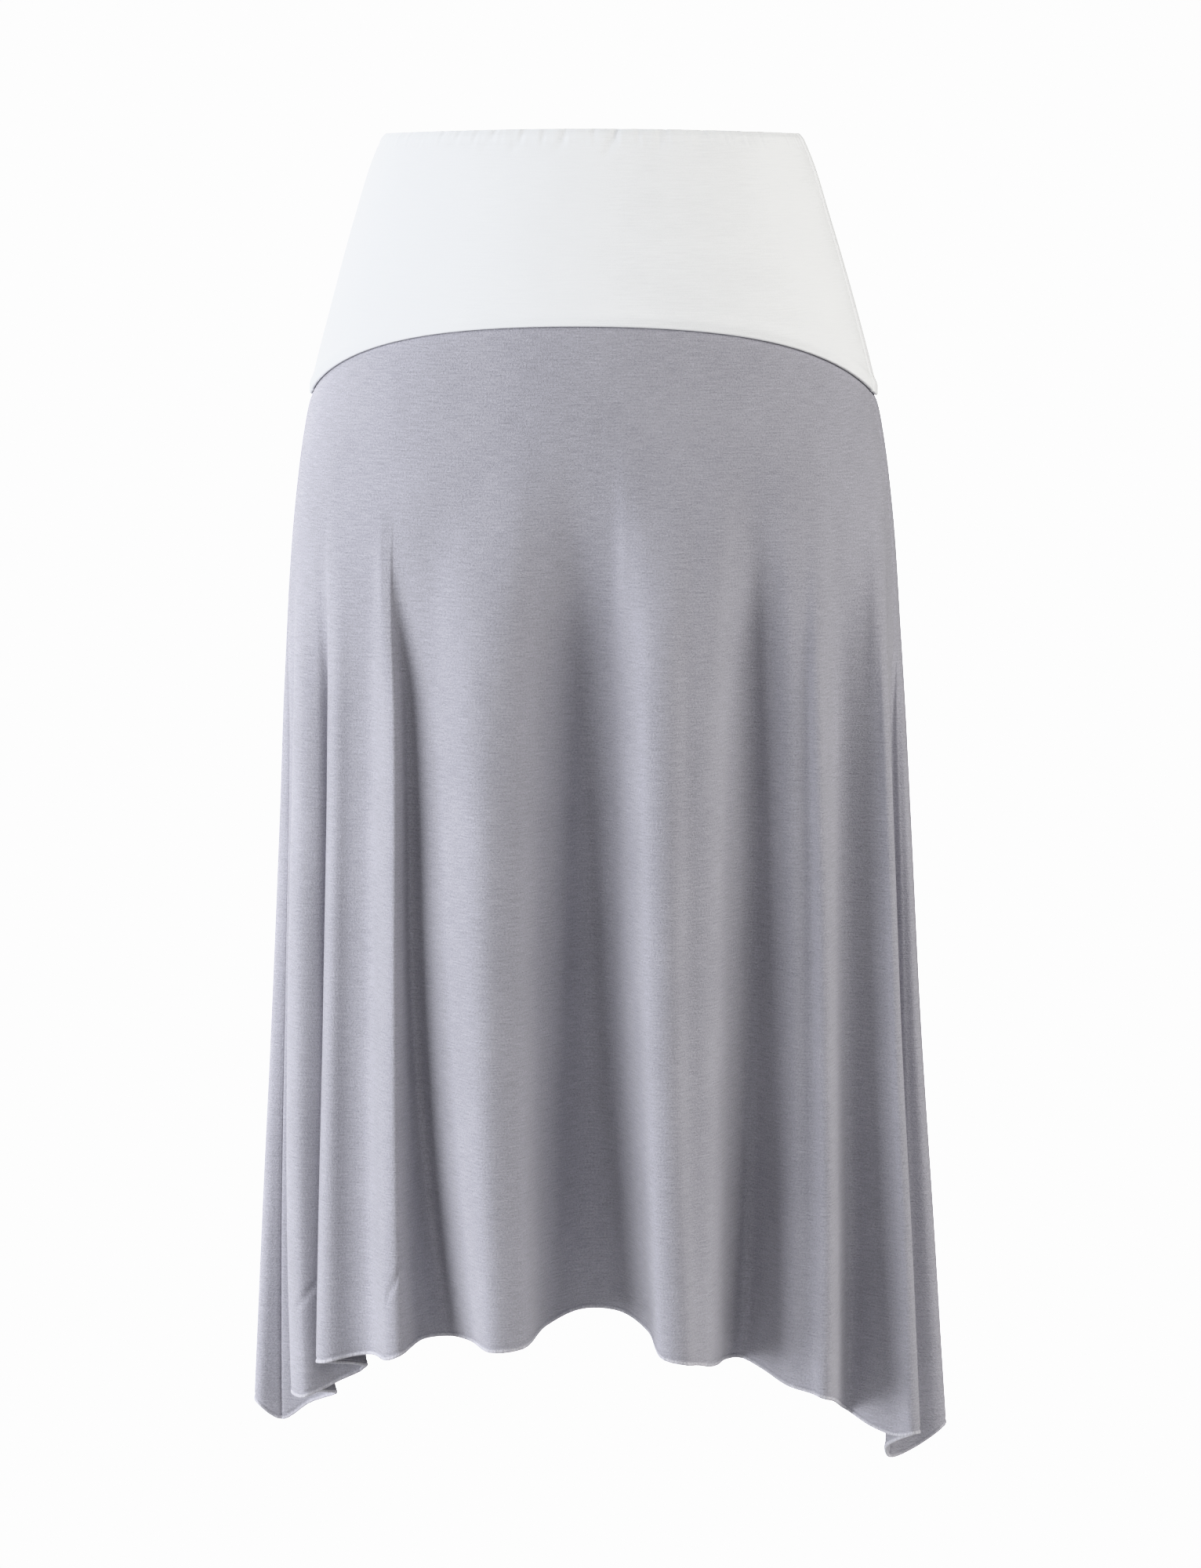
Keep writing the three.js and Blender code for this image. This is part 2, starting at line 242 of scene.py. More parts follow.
BACK_FOLDS = [
    (79, -240, 168, -46, 171, -50, -755.5),
    (82.5, -240, 173, -46, 184, -46, -751.5),
    (87, -240, 178.3, -43, 201.5, -46, -738.5),
    (93, -230, 181, -14, 200, -18, -741),
    (100, -220, 176, 16, 181, 8, -738),
    (107, -210, 179, 40, 205, 38, -729),
    (114, -200, 163, 50, 172, 60, -720),
    (121, -195, 164, 82, 177, 104, -710),
    (129, -190, 138, 86, 130, 98, -700),
    (137, -180, 123, 116, 112, 152, -689),
    (145, -175, 97, 112, 72, 122, -680),
    (153, -175, 79, 134, 60, 168, -673),
    (161, -175, 56, 140, 33, 166, -667),
    (169, -185, 29, 122, 12, 118, -663),
    (178, -185, -2, 124, -16, 124, -661),
    (186, -170, -22, 144, -30, 164, -662),
    (193, -170, -44, 142, -52, 168, -665),
    (201, -175, -68, 120, -70, 124, -670),
    (209, -180, -92, 110, -98, 112, -677),
    (217, -185, -110, 122, -112, 152, -685),
    (225, -190, -131, 112, -134, 142, -692),
    (232, -200, -142, 82, -138, 92, -701),
    (240, -205, -163, 77, -170, 88, -709),
    (247, -215, -174, 62, -186, 72, -715),
    (254, -230, -170, 36, -168, 36, -724),
    (261, -240, -178.5, 10, -193, 4, -731),
    (269, -250, -178.4, -25, -195, -30, -729.5),
]

# Creases and soft ripples pressed into the skirt: the place along the hem and the height of the middle, the
# length, the lean from upright in degrees, the depth and the half width.
CREASES = [
    (11.65, -632.5, 34, 35, 1.1, 1.7),
    (4.25, -651, 26, 42, 1.0, 1.7),
    (68.6, -632, 12, 70, 0.4, 1.8),
    (19.7, -161, 15, 2, 0.28, 1.8),
    (13.2, -150, 28, 86, 0.24, 2),
    (11.8, -252, 66, -3, 0.4, 4.5),
    (15.3, -262, 84, 2, 0.45, 6),
    (17.4, -318, 150, 1, 0.4, 7),
    (21.7, -268, 74, -2, 0.35, 5),
    (25.2, -272, 96, -2, 0.4, 6),
    (30.2, -262, 70, -3, 0.35, 5),
    (34.6, -312, 110, 1, 0.35, 6),
    (7.6, -287, 80, 2, 0.3, 4),
    (38.2, -610, 30, -24, 0.6, 2.2),
    (29.5, -560, 60, 4, 0.3, 5),
    (46.4, -668, 26, -34, 1.0, 1.8),
    (48.5, -282, 80, -2, 0.35, 5),
    (50.6, -602, 22, 38, 0.9, 1.8),
    (53.5, -268, 90, 2, 0.45, 6),
    (56.4, -300, 130, -1, 0.45, 7),
    (57.6, -606, 28, -29, 1.0, 1.8),
    (59.7, -262, 84, -2, 0.4, 6),
    (61.4, -638, 24, 42, 1.0, 1.8),
    (62.6, -270, 70, 3, 0.35, 5),
    (65.3, -560, 34, -20, 0.7, 2.4),
]

# Puckers that hang from the folded top edge of the waistband: the angle in degrees from the middle of the
# front, the depth, the half width, the length down, and how far it leans sideways for each millimetre down.
PUCKERS = [
    (-62, 0.42, 2.2, 9, -0.2),
    (-51, 0.46, 1.8, 8, -0.3),
    (-44, 0.42, 1.6, 8, -0.3),
    (-38, 0.71, 2.2, 15, -0.42),
    (-32, 0.71, 2.0, 14, -0.42),
    (-27, 0.8, 2.2, 16, -0.4),
    (-18.2, 0.88, 2.4, 18, -0.45),
    (-12, 0.5, 1.8, 10, -0.4),
    (-6.5, 0.84, 2.4, 17, -0.42),
    (0.5, 0.5, 2.0, 10, -0.4),
    (6.8, 1.3, 2.4, 20, -0.43),
    (13, 0.53, 2.2, 11, -0.3),
    (19.3, 0.92, 2.8, 18, -0.35),
    (30.9, 0.71, 3.0, 15, -0.25),
    (47, 0.46, 2.4, 10, -0.1),
    (66, 0.42, 2.2, 9, 0.1),
    (84, 0.5, 2.0, 11, 0.2),
    (101, 0.63, 2.4, 13, 0.3),
    (117, 0.71, 2.2, 15, 0.35),
    (131, 0.88, 2.6, 18, 0.3),
    (146, 0.63, 2.2, 13, 0.2),
    (158, 0.97, 2.4, 17, 0.1),
    (171, 0.76, 2.6, 15, -0.1),
    (183, 1.05, 2.4, 19, -0.15),
    (197, 0.71, 2.2, 14, -0.3),
    (212, 0.88, 2.6, 17, -0.3),
    (228, 0.63, 2.2, 12, -0.25),
    (243, 0.76, 2.4, 15, -0.2),
    (259, 0.55, 2.0, 11, -0.1),
    (281, 0.42, 2.2, 9, -0.2),
]

# How the casing gathers between the puckers: the length of a wave in millimetres, and its share of the
# depth.
GATHERS = [(3.7, 0.3), (5.3, 0.4), (8.6, 0.3)]

# The overlock stitch in section, from the outer face down to the cut edge: how far it stands out of the
# wall's face, and its height above the edge. The inner face repeats it.
THREAD_SECTION = [
    (-0.3, THREAD_UP),
    (THREAD_PROUD, THREAD_UP - 0.3),
    (THREAD_PROUD, THREAD_UP / 2),
    (THREAD_PROUD, 0.3),
    (-0.25, -0.3),
]


# Curves

def columns(names, rows):
    return {name: np.array([row[i] for row in rows], float) for i, name in enumerate(names)}


def smooth(knots, values, at):
    """A smooth curve through values at rising knots, read at many places."""
    steps = np.diff(knots)
    rises = np.diff(values) / steps
    slopes = np.empty_like(values)
    slopes[0], slopes[-1] = rises[0], rises[-1]
    slopes[1:-1] = (rises[:-1] * steps[1:] + rises[1:] * steps[:-1]) / (steps[1:] + steps[:-1])
    i = np.clip(np.searchsorted(knots, at, side="right") - 1, 0, len(knots) - 2)
    s = (at - knots[i]) / steps[i]
    return (
        (2 * s**3 - 3 * s**2 + 1) * values[i]
        + (s**3 - 2 * s**2 + s) * steps[i] * slopes[i]
        + (3 * s**2 - 2 * s**3) * values[i + 1]
        + (s**3 - s**2) * steps[i] * slopes[i + 1]
    )


def ramp(value, low, high):
    """A soft step from 0 at low to 1 at high."""
    s = np.clip((value - low) / (high - low), 0, 1)
    return s * s * (3 - 2 * s)


BODY = columns(BODY_COLUMNS, BODY_ROWS)
FOLD_ROWS = FRONT_FOLDS + BACK_FOLDS
FOLDS = columns(FOLD_COLUMNS, FOLD_ROWS)
FOLD_COUNT = len(FOLD_ROWS)
LEFT_SEAM = 0
RIGHT_SEAM = len(FRONT_FOLDS)
WRAP = 3


def wrapped(values, per_turn=0.0):
    """A closed column with a few rows more at each end, so that a curve runs on through its join."""
    return np.concatenate([values[-WRAP:] - per_turn, values, values[: WRAP + 1] + per_turn])


def hem_knots():
    """Where each row of the folds lies along the hem: the sum of the square roots of the steps before it."""
    steps = np.hypot(np.roll(FOLDS["x"], -1) - FOLDS["x"], np.roll(FOLDS["y"], -1) - FOLDS["y"])
    ends = np.cumsum(np.sqrt(steps))
    return np.concatenate([[0.0], ends[:-1]]), ends[-1]


KNOTS, TURN = hem_knots()
WRAPPED_KNOTS = wrapped(KNOTS, TURN)


def fold_at(place):
    """The fold's values at places along the hem: a whole number is a row, and between two it is a share."""
    rows = np.arange(-WRAP, FOLD_COUNT + WRAP + 1)
    knot = np.interp(place, rows, WRAPPED_KNOTS)
    found = {name: smooth(WRAPPED_KNOTS, wrapped(FOLDS[name]), knot) for name in FOLD_COLUMNS[1:]}
    found["at"] = np.radians(smooth(WRAPPED_KNOTS, wrapped(FOLDS["at"], 360), knot))
    return found


def body_point(angle, z):
    """The point of the body's section at height z, at an angle from the middle of the front."""
    found = {name: smooth(-BODY["z"], BODY[name], -z) for name in BODY_COLUMNS[1:]}
    depth = np.where(np.cos(angle) > 0, found["front"], found["back"])
    x = found["shift"] + found["half_width"] * np.sin(angle)
    return np.stack([x, -depth * np.cos(angle), z + 0 * x], -1)


def seam_height(angle):
    """The height of the arched seam between the band and the skirt."""
    across = np.cos(angle + SEAM_TURN)
    middle = np.where(across > 0, SEAM_FRONT, SEAM_BACK)
    arch = np.hypot(across, SEAM_ROUNDING) - SEAM_ROUNDING
    full_arch = math.hypot(1, SEAM_ROUNDING) - SEAM_ROUNDING
    share = np.sin(SEAM_FLATNESS * arch / full_arch) / math.sin(SEAM_FLATNESS)
    return SEAM_SIDE + (middle - SEAM_SIDE) * share


def drape(share):
    """How much of its half-way depth a fold has reached at a share of the way from its start to half-way."""
    return ramp(share, 0, DRAPE_LEAD_IN) * share * (1 + DRAPE_ONSET) / (share + DRAPE_ONSET)


def skirt_surface(place, down):
    """The skirt's outer face as a grid.

    Places run round the hem. Down is 0 at the seam and 1 at the hem, and below 0 is the edge inside the band.
    """
    fold = fold_at(place)
    angle = np.broadcast_to(fold["at"], (len(down), len(place)))
    seam = seam_height(angle) - SEAM_GAP / 2
    z = seam + (fold["z"] - seam) * down[:, None]
    mid = np.stack([fold["mid_x"], fold["mid_y"]], -1) - body_point(fold["at"], MID_LEVEL)[..., :2]
    end = np.stack([fold["x"], fold["y"]], -1) - body_point(fold["at"], fold["z"])[..., :2]
    upper = np.clip((fold["start"] - z) / (fold["start"] - MID_LEVEL), 0, 1)[..., None]
    lower = np.clip((MID_LEVEL - z) / (MID_LEVEL - fold["z"]), 0, 1)[..., None]
    glide = DRAPE_ONSET / (1 + DRAPE_ONSET) * (MID_LEVEL - fold["z"]) / (fold["start"] - MID_LEVEL)
    reach = mid * drape(upper) + mid * glide[:, None] * (lower - lower**2) + (end - mid) * lower**2
    surface = body_point(angle, z)
    surface[..., :2] += reach
    return surface


# Relief

def bump(distance, width):
    """A soft hump of height 1."""
    return np.exp(-((distance / width) ** 2))


def edge_share(distance, wall):
    """How much of its thickness a wall has at a distance from its rounded edge."""
    reach = np.clip(distance / (wall / 2), 0, 1)
    return EDGE_LEAST + (1 - EDGE_LEAST) * np.sqrt(1 - (1 - reach) ** 2)


def crease_relief(place, flat):
    """How deep the creases and ripples press into the skirt's face."""
    stretch = np.gradient(flat[..., 0], place, axis=1)
    relief = np.zeros(flat.shape[:2])
    for at, z, length, lean, depth, width in CREASES:
        across = (place - at) * stretch
        up = flat[..., 1] - z
        sine, cosine = math.sin(math.radians(lean)), math.cos(math.radians(lean))
        along = across * sine + up * cosine
        beside = across * cosine - up * sine
        relief += depth * bump(beside, width) * np.exp(-((2 * along / length) ** 4))
    return relief


def skirt_relief(place, flat, below_seam, above_hem, from_side):
    """How far the skirt's face stands out of its smooth form.

    It is tucked in under the band, drawn in by its stitches and pressed in by its creases.
    """
    tuck = SEAM_TUCK * np.exp(-np.maximum(below_seam, 0) / SEAM_TUCK_REACH)
    side = SIDE_GROOVE * bump(from_side, SIDE_GROOVE_WIDTH)
    hem = HEM_GROOVE * bump(above_hem - HEM_GROOVE_UP, HEM_GROOVE_WIDTH)
    return -tuck - side - hem - crease_relief(place, flat)


def pucker_relief(angle, below_top):
    """How deep the puckers press into the waistband."""
    relief = np.zeros_like(angle)
    for at, depth, width, length, lean in PUCKERS:
        turn = (angle - math.radians(at) + math.pi) % math.tau - math.pi
        across = turn * WAIST_RADIUS - lean * below_top
        relief += depth * bump(across, width) * (1 - ramp(below_top, PUCKER_FULL * length, length))
    return relief


def casing_relief(angle, below_top):
    """How deep the casing's stitch line, plainer on the left, and the small gathers press into the band."""
    depth = CASING_GROOVE * (CASING_MEAN - CASING_TILT * np.sin(angle))
    line = depth * bump(below_top - CASING_DOWN, CASING_WIDTH)
    waves = sum(share * np.sin(math.tau * WAIST_RADIUS * angle / wave) for wave, share in GATHERS)
    return line + GATHER_DEPTH * waves * (1 - ramp(below_top, CASING_DOWN, GATHER_REACH * CASING_DOWN))


def band_relief(angle, below_top, above_seam, from_side):
    """How far the waistband's face stands out: rolled in at its fold, raised over the edges sewn inside."""
    roll = TOP_ROLL * (1 - ramp(below_top, 0, TOP_ROLL_DEPTH))
    ridge = SEAM_RIDGE * bump(above_seam - SEAM_RIDGE_UP, SEAM_RIDGE_WIDTH)
    groove = SIDE_GROOVE * bump(from_side, SIDE_GROOVE_WIDTH)
    return ridge - roll - groove - pucker_relief(angle, below_top) - casing_relief(angle, below_top)


# Meshes

def outward(grid):
    """The unit normals of a grid of points, facing out of the skirt."""
    across = np.gradient(grid, axis=1)
    along = np.gradient(grid, axis=0)
    normal = np.cross(along, across)
    return normal / np.linalg.norm(normal, axis=-1, keepdims=True)


def quads(a, b, c, d):
    return np.stack([a.ravel(), b.ravel(), c.ravel(), d.ravel()], 1)


def make_object(name, points, faces, uvs):
    """A smooth object from points in millimetres, their numbers for each face, and their flat places."""
    mesh = bpy.data.meshes.new(name)
    mesh.from_pydata((points * MM).tolist(), [], faces)
    corners = np.empty(len(mesh.loops), np.int32)
    mesh.loops.foreach_get("vertex_index", corners)
    layer = mesh.uv_layers.new(name="UVMap")
    layer.data.foreach_set("uv", (uvs * MM)[corners].ravel().astype(np.float32))
    mesh.shade_smooth()
    piece = bpy.data.objects.new(name, mesh)
    bpy.context.scene.collection.objects.link(piece)
    return piece


def shell(name, outer, inner, flat):
    """A closed sheet between two grids of points of the same size."""
    rows, cols = outer.shape[:2]
    index = np.arange(rows * cols).reshape(rows, cols)
    far = index + rows * cols
    faces = [
        quads(index[:-1, :-1], index[1:, :-1], index[1:, 1:], index[:-1, 1:]),
        quads(far[:-1, :-1], far[:-1, 1:], far[1:, 1:], far[1:, :-1]),
        quads(index[0, :-1], index[0, 1:], far[0, 1:], far[0, :-1]),
        quads(index[-1, :-1], far[-1, :-1], far[-1, 1:], index[-1, 1:]),
        quads(index[:-1, 0], far[:-1, 0], far[1:, 0], index[1:, 0]),
        quads(index[:-1, -1], index[1:, -1], far[1:, -1], far[:-1, -1]),
    ]
    points = np.concatenate([outer.reshape(-1, 3), inner.reshape(-1, 3)])
    uvs = np.concatenate([flat.reshape(-1, 2)] * 2)
    return make_object(name, points, np.concatenate(faces).tolist(), uvs)


def flat_lengths(grid):
    """Where each point lies on the flat cloth: the length along its row from the middle, and its height."""
    steps = np.linalg.norm(np.diff(grid, axis=1), axis=-1)
    lengths = np.concatenate([np.zeros((len(grid), 1)), np.cumsum(steps, axis=1)], axis=1)
    return np.stack([lengths - lengths[:, -1:] / 2, grid[..., 2]], -1)


def from_sides(flat):
    """How far each point of a panel is from its nearer side seam."""
    return np.minimum(flat[..., 0] - flat[:, :1, 0], flat[:, -1:, 0] - flat[..., 0])


def spread(values, density, count):
    """Values from the first to the last, closer together where the density is higher."""
    steps = (density[1:] + density[:-1]) / 2 * np.diff(values)
    total = np.concatenate([[0.0], np.cumsum(steps)])
    return np.interp(np.linspace(0, total[-1], count), total, values)


def skirt_places(start, end):
    """Places along the hem, closer together by the side seams and at the short creases."""
    fine = np.linspace(start, end, FINE_STEPS)
    fold = fold_at(fine)
    length = np.concatenate([[0.0], np.cumsum(np.hypot(np.diff(fold["x"]), np.diff(fold["y"])))])
    density = 1 + SKIRT_SIDE_CLOSER * bump(np.minimum(length, length[-1] - length), SIDE_REACH)
    for at, _, crease, _, _, width in CREASES:
        if crease < SHORT_CREASE:
            density += CREASE_CLOSER / width * bump(length - np.interp(at, fine, length), crease / 2)
    return np.interp(spread(length, density, SKIRT_COLUMNS), length, fine)


def skirt_rows():
    """Shares of the way from the seam to the hem, closer together by both and in the creased lower cloth."""
    share = np.linspace(-SEAM_ALLOWANCE, 1, FINE_STEPS)
    by_seam = SKIRT_TOP_CLOSER * bump(share, SKIRT_TOP_REACH)
    lower = LOWER_CLOSER * ramp(share, LOWER_START, LOWER_FULL)
    by_hem = lower + HEM_CLOSER * bump(1 - share, HEM_REACH)
    return spread(share, 1 + by_seam + by_hem, SKIRT_ROWS)


def walls(face, out, wall, from_edge):
    """The outer and inner points of a wall whose edges are rounded."""
    thick = wall * edge_share(from_edge, wall)[..., None]
    outer = face - out * (wall - thick) / 2
    return outer, outer - out * thick


def seam_facing(place, down):
    """The unit normals along a side seam, the same for both panels, so that their edges meet."""
    beside = skirt_surface(np.array([place - SEAM_STEP, place, place + SEAM_STEP]), down)
    return outward(beside)[:, 1]


def skirt_panel(start, end):
    """A skirt panel's outer points, inner points and flat places, from one place along the hem to another."""
    place = skirt_places(start, end)
    down = skirt_rows()
    form = skirt_surface(place, down)
    flat = flat_lengths(form)
    out = outward(form)
    out[:, 0], out[:, -1] = seam_facing(start, down), seam_facing(end, down)
    below_seam = seam_height(fold_at(place)["at"]) - flat[..., 1]
    below_top = flat[:1, :, 1] - flat[..., 1]
    above_hem = flat[..., 1] - flat[-1:, :, 1]
    from_side = from_sides(flat)
    relief = skirt_relief(place, flat, below_seam, above_hem, from_side)
    from_edge = np.minimum(np.minimum(below_top, above_hem), from_side)
    outer, inner = walls(form + out * relief[..., None], out, SKIRT_WALL, from_edge)
    return outer, inner, flat


def band_panel(start, end):
    """A waistband panel's outer points, inner points and flat places, from one angle to another."""
    length = np.linspace(0, (end - start) * WAIST_RADIUS, FINE_STEPS)
    density = 1 + BAND_SIDE_CLOSER * bump(np.minimum(length, length[-1] - length), SIDE_REACH)
    angle = start + spread(length, density, BAND_COLUMNS) / WAIST_RADIUS
    share = np.linspace(0, 1, FINE_STEPS)
    by_top = BAND_EDGE_CLOSER * bump(share, BAND_TOP_REACH)
    by_seam = BAND_EDGE_CLOSER * bump(1 - share, BAND_SEAM_REACH)
    density = 1 + by_top + by_seam
    down = spread(share, density, BAND_ROWS)[:, None]
    top = -TOP_DIP * np.sin(angle) ** 2
    seam = seam_height(angle) + SEAM_GAP / 2
    z = top + (seam - top) * down
    angle = np.broadcast_to(angle, z.shape)
    form = body_point(angle, z)
    flat = flat_lengths(form)
    below_top, above_seam, from_side = top - z, z - seam, from_sides(flat)
    relief = BAND_PROUD + band_relief(angle, below_top, above_seam, from_side)
    out = outward(form)
    from_edge = np.minimum(np.minimum(below_top, above_seam), from_side)
    outer, inner = walls(form + out * relief[..., None], out, BAND_WALL, from_edge)
    return outer, inner, flat


def hem_thread(name, outer, inner):
    """The overlock stitches round a panel's cut edge, as one bead with a ridge for each stitch."""
    edge = (outer[-1] + inner[-1]) / 2
    out = outer[BEAD_ROW] - inner[BEAD_ROW]
    up = (outer[BEAD_ROW] + inner[BEAD_ROW]) / 2 - edge
    length = np.concatenate([[0.0], np.cumsum(np.linalg.norm(np.diff(edge, axis=0), axis=-1))])
    at = np.arange(0, length[-1], STITCH_PITCH / STITCH_STEPS)
    edge, out, up = (np.stack([np.interp(at, length, row) for row in line.T], -1) for line in (edge, out, up))
    out /= np.linalg.norm(out, axis=-1, keepdims=True)
    up /= np.linalg.norm(up, axis=-1, keepdims=True)
    section = [(SKIRT_WALL / 2 + away, height, 1) for away, height in THREAD_SECTION]
    section += [(-away, height, -1) for away, height, _ in reversed(section)]
    lines = []
    for away, height, side in section:
        wave = np.cos(math.tau * (at + STITCH_SLANT * height) / STITCH_PITCH)
        ridge = THREAD_RIDGE * (0.5 + 0.5 * wave) * (height < THREAD_UP)
        drop = height - ridge * (height < 0)
        lines.append(edge + out * (away + side * ridge)[:, None] + up * drop[:, None])
    points = np.stack(lines, 1)
    count, around = points.shape[:2]
    index = np.arange(count * around).reshape(count, around)
    turned = np.roll(index, -1, axis=1)
    faces = quads(index[:-1], turned[:-1], turned[1:], index[1:]).tolist()
    faces += [index[0, ::-1].tolist(), index[-1].tolist()]
    uvs = np.stack(np.broadcast_arrays(at[:, None], np.arange(around) / 2), -1)
    return make_object(name, points.reshape(-1, 3), faces, uvs.reshape(-1, 2))


# Materials

def linear(hex_colour):
    """An sRGB hex colour as linear red, green, blue and alpha."""
    values = [int(hex_colour[i : i + 2], 16) / 255 for i in (1, 3, 5)]
    return [v / 12.92 if v <= 0.04045 else ((v + 0.055) / 1.055) ** 2.4 for v in values] + [1.0]


def add(tree, kind, settings=(), links=()):
    """A node of a kind, with its settings by name or socket, and inputs linked to other nodes' outputs."""
    node = tree.nodes.new(f"ShaderNode{kind}")
    for key, value in dict(settings).items():
        if isinstance(key, str) and hasattr(node, key):
            setattr(node, key, value)
        else:
            node.inputs[key].default_value = value
    for key, source in dict(links).items():
        tree.links.new(node.inputs[key], source)
    return node


def new_material(name):
    material = bpy.data.materials.new(name)
    material.use_nodes = True
    material.node_tree.nodes.clear()
    return material, material.node_tree


def millimetres(tree):
    """Places on the flat cloth in millimetres."""
    flat = add(tree, "UVMap", {"uv_map": "UVMap"})
    scaled = add(tree, "Mapping", {"Scale": (1 / MM, 1 / MM, 1 / MM)}, {"Vector": flat.outputs["UV"]})
    return scaled.outputs["Vector"]


def stretched(tree, place, across, down):
    """Places scaled so that a pattern of size 1 is across by down millimetres."""
    scaled = add(tree, "Mapping", {"Scale": (1 / across, 1 / down, 1)}, {"Vector": place})
    return scaled.outputs["Vector"]


def grain(tree, place, across, down, detail, low=0.3, high=0.7):
    """Soft irregular grains across by down millimetres in size, from 0 to 1."""
    at = stretched(tree, place, across, down)
    noise = add(tree, "TexNoise", {"Scale": 1.0, "Detail": detail, "Roughness": 0.6}, {"Vector": at})
    spread_out = add(tree, "MapRange", {"From Min": low, "From Max": high}, {"Value": noise.outputs["Fac"]})
    return spread_out.outputs["Result"]


def blended(tree, parts):
    """The sum of values, each times its share."""
    total = None
    for value, share in parts:
        if total is None:
            node = add(tree, "Math", {"operation": "MULTIPLY", 1: share}, {0: value})
        else:
            node = add(tree, "Math", {"operation": "MULTIPLY_ADD", 1: share}, {0: value, 2: total})
        total = node.outputs[0]
    return total


def finish_cloth(tree, dark, light, tone, height, depth, surface):
    """A matt cloth between two colours by its tone, with a relief of some depth in millimetres."""
    colour = add(
        tree,
        "Mix",
        {"data_type": "RGBA", 6: linear(dark), 7: linear(light)},
        {0: tone},
    )
    relief = add(tree, "Bump", {"Strength": 1.0, "Distance": depth * MM}, {"Height": height})
    cloth = add(
        tree,
        "BsdfPrincipled",
        surface,
        {"Base Color": colour.outputs[2], "Normal": relief.outputs["Normal"]},
    )
    add(tree, "OutputMaterial", links={"Surface": cloth.outputs["BSDF"]})


def brushed_jersey():
    """Single jersey of spun cotton and polyester, knitted, piece dyed and brushed.

    The brushing lifts a short nap, so the face is quite matt, pales a little where it turns away, and has
    a soft grain of tufts. Fibres that took the dye unevenly give it a fine melange, and the courses of loops
    below show only as faint level lines.
    """
    material, tree = new_material("brushed_jersey_grey")
    place = millimetres(tree)
    tufts = grain(tree, place, TUFT, TUFT, 2.0)
    fibres = grain(tree, place, FIBRE, FIBRE, 1.0)
    courses = grain(tree, place, GREY_RUN * COURSE, COURSE, 1.0)
    lots = grain(tree, place, *GREY_LOT, 1.0)
    tone = blended(tree, [(tufts, 0.4), (fibres, 0.25), (courses, 0.25), (lots, 0.1)])
    height = blended(tree, [(tufts, 0.55), (fibres, 0.2), (courses, 0.25)])
    surface = {"Roughness": 0.95, "Sheen Weight": 0.3, "IOR": 1.5, "Specular IOR Level": 0.2}
    finish_cloth(tree, "#8e8d95", "#c0bfc7", tone, height, NAP_DEPTH, surface)
    return material


def doubled_jersey():
    """Single jersey of white cotton and elastane, laid double.

    Two layers hide what is behind them and fill out the loops, so the face is smooth and even, with level
    courses of fine loops that only just show.
    """
    material, tree = new_material("doubled_jersey_white")
    place = millimetres(tree)
    loops = grain(tree, place, LOOP, LOOP, 1.0)
    courses = grain(tree, place, WHITE_RUN * COURSE, COURSE, 1.0)
    lots = grain(tree, place, *WHITE_LOT, 1.0)
    tone = blended(tree, [(loops, 0.35), (courses, 0.4), (lots, 0.25)])
    height = blended(tree, [(loops, 0.5), (courses, 0.5)])
    surface = {"Roughness": 0.85, "Sheen Weight": 0.3, "IOR": 1.5, "Specular IOR Level": 0.3}
    finish_cloth(tree, "#e7e8e9", "#f1f2f3", tone, height, LOOP_DEPTH, surface)
    return material


def overlock_thread():
    """Spun polyester sewing thread, dyed a little paler than the cloth.

    It is twisted, so each loop of the stitch carries fine slanting lines, and it is smoother than the nap,
    so its crowns catch a soft light.
    """
    material, tree = new_material("spun_polyester_thread")
    place = millimetres(tree)
    twist = add(
        tree,
        "TexWave",
        {"Scale": 1 / (WAVE_TURNS * THREAD_TWIST), "Distortion": 0.6, "bands_direction": "DIAGONAL"},
        {"Vector": stretched(tree, place, WAVE_SIZE, WAVE_SIZE)},
    ).outputs["Fac"]
    stitches = grain(tree, place, STITCH_PITCH, STITCH_SHADE_HEIGHT, 0.0)
    tone = blended(tree, [(twist, 0.4), (stitches, 0.6)])
    surface = {"Roughness": 0.7, "Sheen Weight": 0.15, "IOR": 1.54}
    finish_cloth(tree, "#adacb3", "#cfced4", tone, twist, THREAD_DEPTH, surface)
    return material


def studio_paper():
    """Matt card as a studio floor has it: uncoated, so it shows a faint fibre and no gloss."""
    material, tree = new_material("uncoated_card_pale")
    place = millimetres(tree)
    fibre = grain(tree, place, CARD_FIBRE, CARD_FIBRE, 3.0)
    finish_cloth(tree, "#e9e9ea", "#f0f0f0", fibre, fibre, CARD_DEPTH, {"Roughness": 0.9})
    return material


# Stage

def make_camera():
    data = bpy.data.cameras.new("camera")
    camera = bpy.data.objects.new("camera", data)
    bpy.context.scene.collection.objects.link(camera)
    data.sensor_width = SENSOR_HEIGHT
    data.lens = SENSOR_HEIGHT * FOCAL_PIXELS / PHOTO_HEIGHT
    data.clip_end = CAMERA_REACH
    camera.location = CAMERA_PLACE
    camera.rotation_euler = (math.radians(90 - CAMERA_PITCH), 0, 0)
    bpy.context.scene.camera = camera


def area_light(name, place, size, power, colour):
    data = bpy.data.lights.new(name, "AREA")
    data.shape = "RECTANGLE"
    data.size, data.size_y = size
    data.energy = power
    data.color = linear(colour)[:3]
    lamp = bpy.data.objects.new(name, data)
    lamp.location = place
    lamp.rotation_euler = (Vector(LIGHT_AIM) - Vector(place)).to_track_quat("-Z", "Y").to_euler()
    bpy.context.scene.collection.objects.link(lamp)


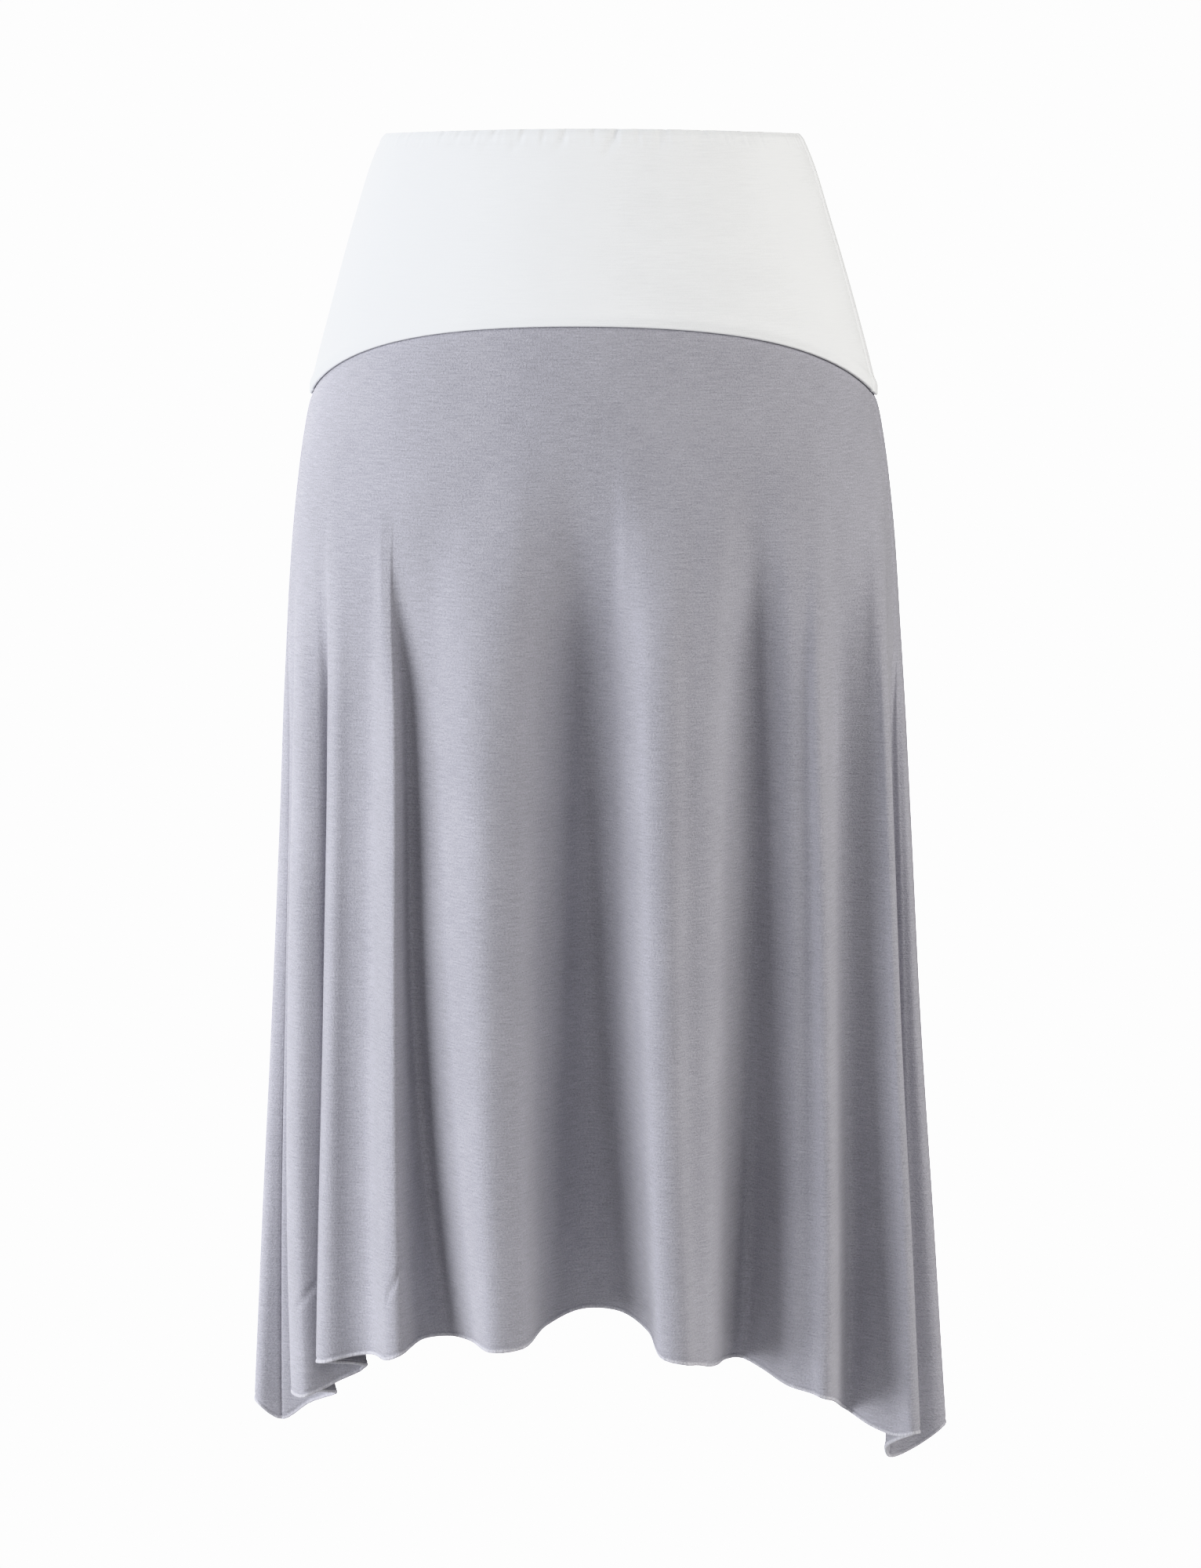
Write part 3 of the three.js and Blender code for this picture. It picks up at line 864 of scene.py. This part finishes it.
def make_world():
    """A white room: plainly white behind the skirt, and only a faint light from all round on it."""
    world = bpy.data.worlds.new("studio")
    bpy.context.scene.world = world
    world.use_nodes = True
    tree = world.node_tree
    tree.nodes.clear()
    seen = add(tree, "Background", {"Color": linear("#ffffff"), "Strength": BACKDROP_STRENGTH})
    fill = add(tree, "Background", {"Color": linear("#ffffff"), "Strength": ROOM_STRENGTH})
    path = add(tree, "LightPath")
    mix = add(
        tree,
        "MixShader",
        links={0: path.outputs["Is Camera Ray"], 1: fill.outputs[0], 2: seen.outputs[0]},
    )
    add(tree, "OutputWorld", links={"Surface": mix.outputs[0]})


def make_floor():
    """A round pale floor at the wearer's feet."""
    turn = np.linspace(0, math.tau, FLOOR_SIDES, endpoint=False)
    rim = np.stack([np.sin(turn), -np.cos(turn), 0 * turn], -1) * FLOOR_RADIUS
    points = rim + np.array([0, 0, FLOOR_LEVEL])
    floor = make_object("studio_floor", points, [list(range(len(points)))[::-1]], points[:, :2])
    floor.data.materials.append(studio_paper())


def make_stage():
    make_world()
    make_floor()
    for light in LIGHTS:
        area_light(*light)
    bpy.context.scene.view_settings.view_transform = "Khronos PBR Neutral"


# The skirt

def dress(piece, material):
    piece.data.materials.append(material)
    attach(piece, BODY_NAME)


def make_skirt(side, start, end, grey, thread):
    """A skirt panel with its overlocked hem."""
    outer, inner, flat = skirt_panel(start, end)
    panel = shell(f"{side}_panel", outer, inner, flat)
    hem = hem_thread(f"{side}_hem_overlock", outer, inner)
    dress(panel, grey)
    dress(hem, thread)
    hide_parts(f"skirt_{side}")


def make_band(side, start, end, white):
    """A waistband panel, folded over at its top edge."""
    outer, inner, flat = band_panel(start, end)
    band = shell(f"band_{side}", outer, inner, flat)
    dress(band, white)
    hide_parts(f"waistband_{side}")


make_camera()
make_stage()

grey = brushed_jersey()
white = doubled_jersey()
thread = overlock_thread()
left = math.radians(FOLD_ROWS[LEFT_SEAM][0])
right = math.radians(FOLD_ROWS[RIGHT_SEAM][0])
make_band("front", left, right, white)
make_band("back", right, left + math.tau, white)
make_skirt("front", LEFT_SEAM, RIGHT_SEAM, grey, thread)
make_skirt("back", RIGHT_SEAM, FOLD_COUNT, grey, thread)
